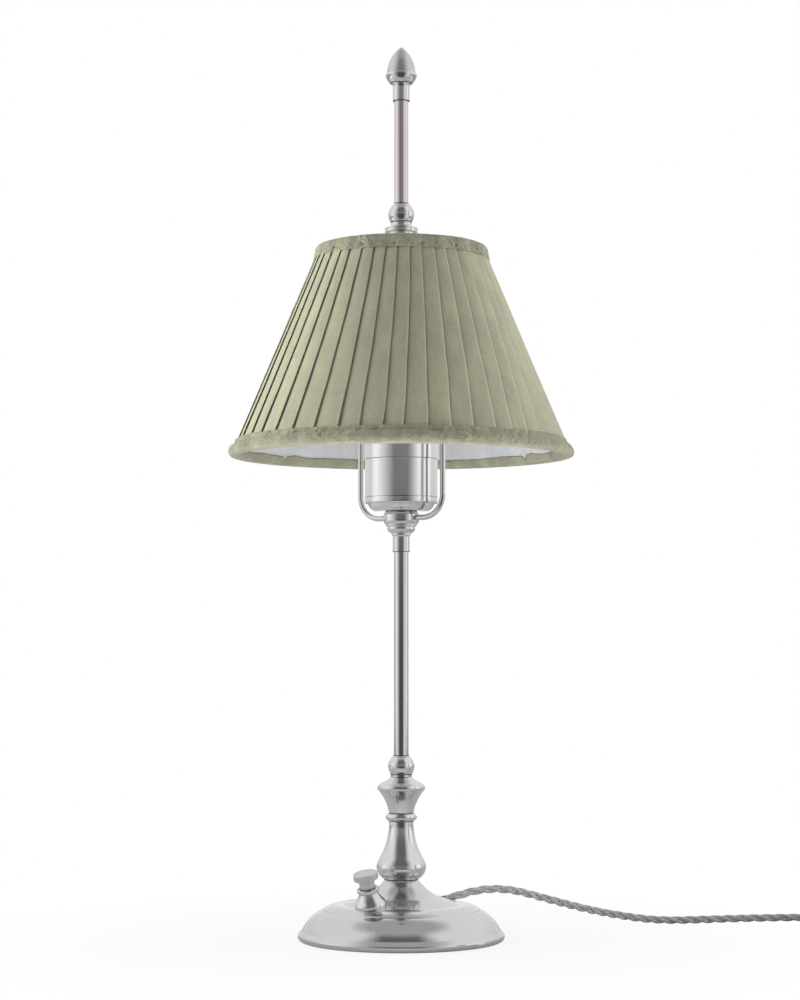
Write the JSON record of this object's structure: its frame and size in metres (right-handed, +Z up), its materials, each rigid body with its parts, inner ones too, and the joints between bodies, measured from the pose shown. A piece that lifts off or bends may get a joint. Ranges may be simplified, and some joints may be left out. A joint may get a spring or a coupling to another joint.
{
  "type": "table lamp",
  "caption": "Slim metal candlestick table lamp with a domed base, push switch, two-rod yoke, pleated cone shade and acorn finial.",
  "frame": {"origin": "centre of the base's underside, on the stem's axis", "axes": "+Z up along the stem, -Y to the front, +X to the side where the cord lies"},
  "size_m": [0.4714, 0.2202, 0.5726],
  "materials": {
    "polished_nickel": "polished nickel plate",
    "satin_nickel": "satin nickel plate",
    "plain_steel": "zinc-plated steel",
    "cast_weight": "rough cast, painted black",
    "felt": "dark green felt",
    "pleated_cloth": "sage silk weave in knife pleats",
    "band_cloth": "sage silk, wrapped over a soft core",
    "lining_cloth": "white bias-cut lining",
    "white_wire": "white enamelled wire",
    "brass": "drawn brass",
    "ceramic": "glazed white insulator",
    "bulb_glass": "thin opal glass",
    "bulb_cap": "threaded aluminium",
    "black_moulding": "moulded black",
    "grey_moulding": "moulded grey",
    "clear_bush": "milky bush",
    "live_wire": "brown sleeve",
    "neutral_wire": "blue sleeve",
    "cord_textile": "grey textile braid on twisted cores"
  },
  "bodies": {
    "stand": {"base_shell": "polished_nickel", "baluster_vase": "polished_nickel", "baluster_ring": "polished_nickel", "baluster_cup": "polished_nickel", "lower_ball": "polished_nickel", "stem_tube": "polished_nickel", "stem_collar": "polished_nickel", "yoke_cup": "polished_nickel", "yoke_hub": "polished_nickel", "yoke_rod_front": "polished_nickel", "yoke_rod_rear": "polished_nickel", "yoke_top_hub": "polished_nickel", "top_stud": "plain_steel", "holder_seat": "polished_nickel", "lampholder_cap": "polished_nickel", "lampholder_shell": "polished_nickel", "clamp_collar": "polished_nickel", "upper_ball": "polished_nickel", "upper_tube": "polished_nickel", "finial_collar": "polished_nickel", "finial_cup": "polished_nickel", "finial_acorn": "satin_nickel", "switch_bell": "polished_nickel", "threaded_tube": "plain_steel", "base_washer": "plain_steel", "base_locknut": "plain_steel", "holder_nut": "plain_steel", "switch_nut": "plain_steel", "base_weight": "cast_weight", "base_felt_pad": "felt", "holder_insert": "ceramic", "centre_contact": "brass", "screw_shell": "brass", "bulb_cap": "bulb_cap", "bulb_glass": "bulb_glass", "switch_body": "black_moulding", "terminal_block": "ceramic", "cord_grip": "black_moulding", "cord_bush": "clear_bush", "wire_live": "live_wire", "wire_neutral": "neutral_wire", "cord_lead": "cord_textile", "cord_coil": "cord_textile", "cord_tail": "cord_textile", "plug_body": "grey_moulding", "plug_pins": "satin_nickel", "plug_earth_clips": "satin_nickel"},
    "shade": {"shade_cover": "pleated_cloth", "shade_band_top": "band_cloth", "shade_band_bottom": "band_cloth", "shade_lining": "lining_cloth", "shade_ring_top": "white_wire", "shade_ring_bottom": "white_wire", "shade_struts": "white_wire", "shade_spider": "white_wire"},
    "button": {"switch_button": "satin_nickel"}
  },
  "joints": [
    {"name": "shade_turn", "type": "hinge", "parent": "stand", "child": "shade", "pos_m": [0, 0, 0.4454], "axis": [0, 0, 1], "continuous": true},
    {"name": "button_press", "type": "slide", "parent": "stand", "child": "button", "axis": [0.1553, 0.2277, -0.9613], "range_m": [0, 0.003], "stiffness_N_per_m": 1000, "springref_m": -0.001}
  ]
}
